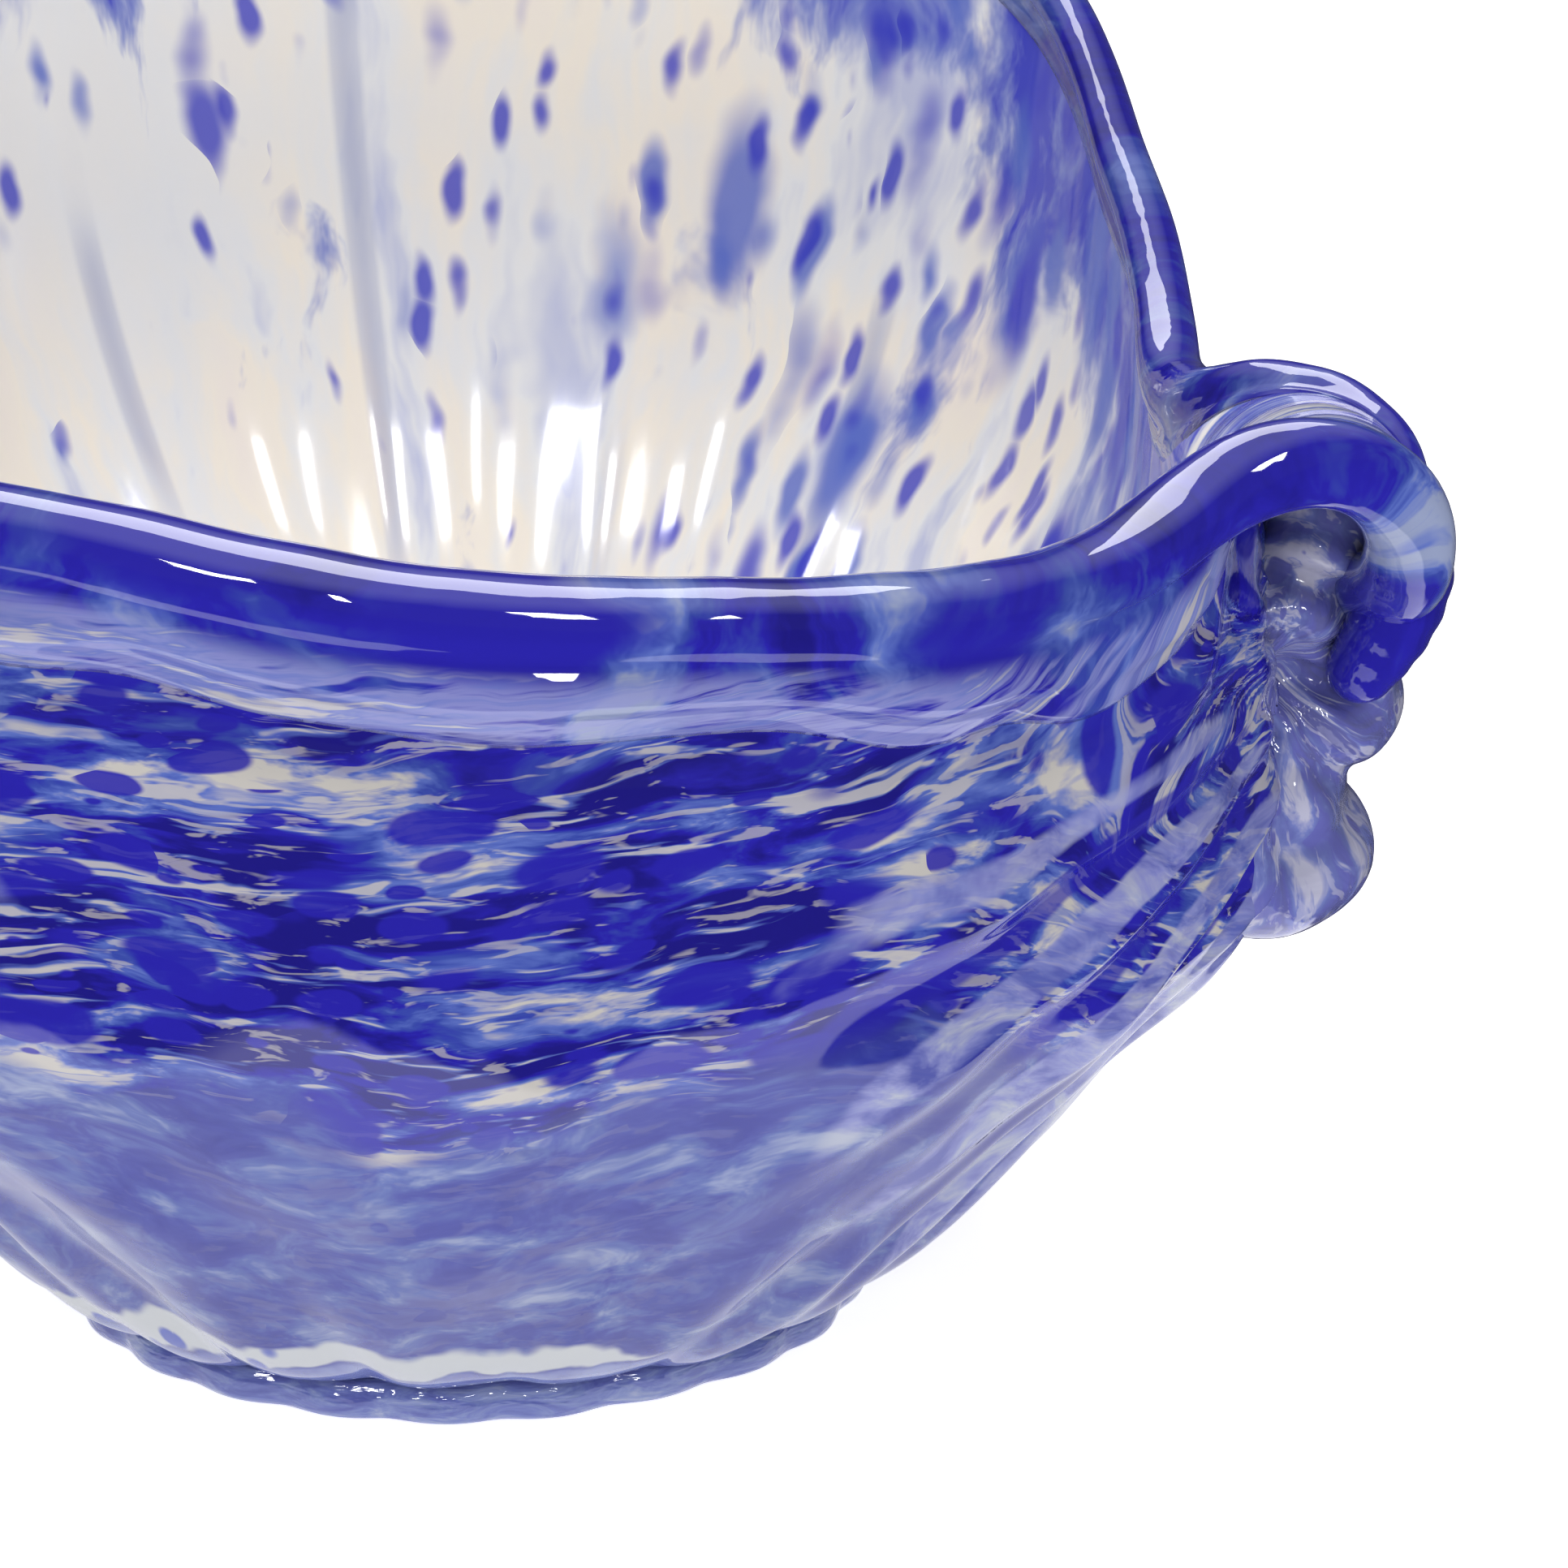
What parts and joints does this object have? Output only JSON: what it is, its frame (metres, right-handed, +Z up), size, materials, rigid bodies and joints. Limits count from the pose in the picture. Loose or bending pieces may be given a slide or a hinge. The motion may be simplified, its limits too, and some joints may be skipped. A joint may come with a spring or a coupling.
{
  "type": "glass bowl",
  "caption": "Fluted shell-shaped blown glass bowl with a tall scalloped back, a low wrapped front lip, folded-out ears at the sides and a lobed foot; it holds fruit or stands as a centrepiece.",
  "frame": {"origin": "centre of the foot's flat underside", "axes": "+Z up out of the bowl's mouth, -Y towards the low front lip, +X towards the right-hand ear"},
  "size_m": [0.3072, 0.2697, 0.2232],
  "materials": {
    "inner_lining": "fire-polished, pearly cream with blue flecks",
    "outer_casing": "fire-polished, mottled cobalt and cream",
    "lip_wrap": "fire-polished, deep cobalt",
    "right_ear_bit": "fire-polished, streaked lavender and cobalt",
    "left_ear_bit": "fire-polished, streaked lavender and cobalt",
    "foot_pad": "fire-polished pale blue with a ground flat underside"
  },
  "bodies": {
    "root": {"inner_lining": "inner_lining", "outer_casing": "outer_casing", "lip_wrap": "lip_wrap", "right_ear_bit": "right_ear_bit", "left_ear_bit": "left_ear_bit", "foot_pad": "foot_pad"}
  },
  "joints": []
}
